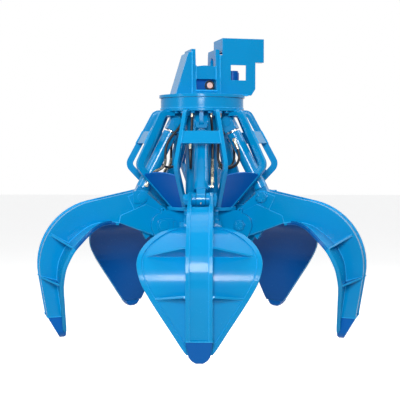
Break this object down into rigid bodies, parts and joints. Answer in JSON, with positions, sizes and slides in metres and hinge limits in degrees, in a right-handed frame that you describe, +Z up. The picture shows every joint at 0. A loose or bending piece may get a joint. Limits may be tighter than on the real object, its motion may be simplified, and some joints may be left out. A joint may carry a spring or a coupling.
{
  "type": "hydraulic orange-peel grab",
  "caption": "Open hydraulic orange-peel grab with curved shell tines, one cylinder each, a strap cage, a slewing ring and a hanger head.",
  "frame": {"origin": "middle of the hanger pin's bore between the two hanger ears, on the slewing axis", "axes": "+Z up along the slewing axis towards the crane, the front tine towards -Y, +X to the right seen from the front; the hanger pin lies 15 degrees from +X towards +Y"},
  "size_m": [2.1884, 2.1491, 1.991],
  "materials": {
    "painted": "gloss cyan-blue paint",
    "deep": "gloss darker blue paint",
    "chrome": "polished hard chrome",
    "steel": "machined steel",
    "tooth": "painted cast steel",
    "hose": "matt black rubber"
  },
  "bodies": {
    "head": {"hanger_ears": "painted", "ear_buttress": "painted", "cross_plates": "painted", "motor_guard": "painted", "slew_motor": "deep", "rotary_union": "deep", "head_flange": "painted", "bearing_inner_race": "steel"},
    "pinion": {"slew_pinion": "steel"},
    "cage": {"slew_drum": "painted", "ring_gear": "steel", "bearing_outer_race": "steel", "top_plate": "painted", "top_plate_bolts": "painted", "rod_lugs": "painted", "rod_pins": "steel", "cage_straps": "painted", "cage_bands": "painted", "bowl_panels": "deep", "centre_column": "painted", "hub": "painted", "hub_plate": "painted", "hinge_pins": "painted", "hinge_nuts": "painted"},
    "front_tine": {"front_beam": "painted", "front_shell": "painted", "front_tooth": "tooth", "front_pin_ends": "painted"},
    "front_rod_body": {"front_rod": "chrome", "front_hoses": "hose"},
    "front_barrel_body": {"front_barrel": "painted"},
    "right_tine": {"right_beam": "painted", "right_shell": "painted", "right_tooth": "tooth", "right_pin_ends": "painted"},
    "right_rod_body": {"right_rod": "chrome", "right_hoses": "hose"},
    "right_barrel_body": {"right_barrel": "painted"},
    "rear_right_tine": {"rear_right_beam": "painted", "rear_right_shell": "painted", "rear_right_tooth": "tooth", "rear_right_pin_ends": "painted"},
    "rear_right_rod_body": {"rear_right_rod": "chrome", "rear_right_hoses": "hose"},
    "rear_right_barrel_body": {"rear_right_barrel": "painted"},
    "rear_left_tine": {"rear_left_beam": "painted", "rear_left_shell": "painted", "rear_left_tooth": "tooth", "rear_left_pin_ends": "painted"},
    "rear_left_rod_body": {"rear_left_rod": "chrome", "rear_left_hoses": "hose"},
    "rear_left_barrel_body": {"rear_left_barrel": "painted"},
    "left_tine": {"left_beam": "painted", "left_shell": "painted", "left_tooth": "tooth", "left_pin_ends": "painted"},
    "left_rod_body": {"left_rod": "chrome", "left_hoses": "hose"},
    "left_barrel_body": {"left_barrel": "painted"}
  },
  "joints": [
    {"name": "slew", "type": "hinge", "parent": "head", "child": "cage", "pos_m": [0, 0, 0], "axis": [0, 0, 1], "continuous": true},
    {"name": "pinion_spin", "type": "hinge", "parent": "head", "child": "pinion", "pos_m": [0.20864, 0.05591, 0], "axis": [0, 0, 1], "continuous": true},
    {"name": "front_close", "type": "hinge", "parent": "cage", "child": "front_tine", "pos_m": [0, -0.305, -1.09], "axis": [1, 0, 0], "range_deg": [0, 54]},
    {"name": "front_rod_swing", "type": "hinge", "parent": "cage", "child": "front_rod_body", "pos_m": [0, -0.187, -0.398], "axis": [1, 0, 0], "range_deg": [0, 0.6]},
    {"name": "front_stroke", "type": "slide", "parent": "front_rod_body", "child": "front_barrel_body", "axis": [0, -0.4641, -0.8858], "range_m": [0, 0.2175], "deforming": ["front_hoses"]},
    {"name": "right_close", "type": "hinge", "parent": "cage", "child": "right_tine", "pos_m": [0.29007, -0.09425, -1.09], "axis": [0.309, 0.9511, 0], "range_deg": [0, 54]},
    {"name": "right_rod_swing", "type": "hinge", "parent": "cage", "child": "right_rod_body", "pos_m": [0.17785, -0.05779, -0.398], "axis": [0.309, 0.9511, 0], "range_deg": [0, 0.6]},
    {"name": "right_stroke", "type": "slide", "parent": "right_rod_body", "child": "right_barrel_body", "axis": [0.4414, -0.1434, -0.8858], "range_m": [0, 0.2175], "deforming": ["right_hoses"]},
    {"name": "rear_right_close", "type": "hinge", "parent": "cage", "child": "rear_right_tine", "pos_m": [0.17927, 0.24675, -1.09], "axis": [-0.809, 0.5878, 0], "range_deg": [0, 54]},
    {"name": "rear_right_rod_swing", "type": "hinge", "parent": "cage", "child": "rear_right_rod_body", "pos_m": [0.10992, 0.15129, -0.398], "axis": [-0.809, 0.5878, 0], "range_deg": [0, 0.6]},
    {"name": "rear_right_stroke", "type": "slide", "parent": "rear_right_rod_body", "child": "rear_right_barrel_body", "axis": [0.2728, 0.3754, -0.8858], "range_m": [0, 0.2175], "deforming": ["rear_right_hoses"]},
    {"name": "rear_left_close", "type": "hinge", "parent": "cage", "child": "rear_left_tine", "pos_m": [-0.17927, 0.24675, -1.09], "axis": [-0.809, -0.5878, 0], "range_deg": [0, 54]},
    {"name": "rear_left_rod_swing", "type": "hinge", "parent": "cage", "child": "rear_left_rod_body", "pos_m": [-0.10992, 0.15129, -0.398], "axis": [-0.809, -0.5878, 0], "range_deg": [0, 0.6]},
    {"name": "rear_left_stroke", "type": "slide", "parent": "rear_left_rod_body", "child": "rear_left_barrel_body", "axis": [-0.2728, 0.3754, -0.8858], "range_m": [0, 0.2175], "deforming": ["rear_left_hoses"]},
    {"name": "left_close", "type": "hinge", "parent": "cage", "child": "left_tine", "pos_m": [-0.29007, -0.09425, -1.09], "axis": [0.309, -0.9511, 0], "range_deg": [0, 54]},
    {"name": "left_rod_swing", "type": "hinge", "parent": "cage", "child": "left_rod_body", "pos_m": [-0.17785, -0.05779, -0.398], "axis": [0.309, -0.9511, 0], "range_deg": [0, 0.6]},
    {"name": "left_stroke", "type": "slide", "parent": "left_rod_body", "child": "left_barrel_body", "axis": [-0.4414, -0.1434, -0.8858], "range_m": [0, 0.2175], "deforming": ["left_hoses"]}
  ],
  "couplings": [
    {"joint": "pinion_spin", "follows": "slew", "ratio": 6.4},
    {"joint": "front_rod_swing", "follows": "front_close", "ratio": 0.010253},
    {"joint": "front_stroke", "follows": "front_close", "m_per_rad": 0.23016},
    {"joint": "right_rod_swing", "follows": "right_close", "ratio": 0.010253},
    {"joint": "right_stroke", "follows": "right_close", "m_per_rad": 0.23016},
    {"joint": "rear_right_rod_swing", "follows": "rear_right_close", "ratio": 0.010253},
    {"joint": "rear_right_stroke", "follows": "rear_right_close", "m_per_rad": 0.23016},
    {"joint": "rear_left_rod_swing", "follows": "rear_left_close", "ratio": 0.010253},
    {"joint": "rear_left_stroke", "follows": "rear_left_close", "m_per_rad": 0.23016},
    {"joint": "left_rod_swing", "follows": "left_close", "ratio": 0.010253},
    {"joint": "left_stroke", "follows": "left_close", "m_per_rad": 0.23016}
  ]
}
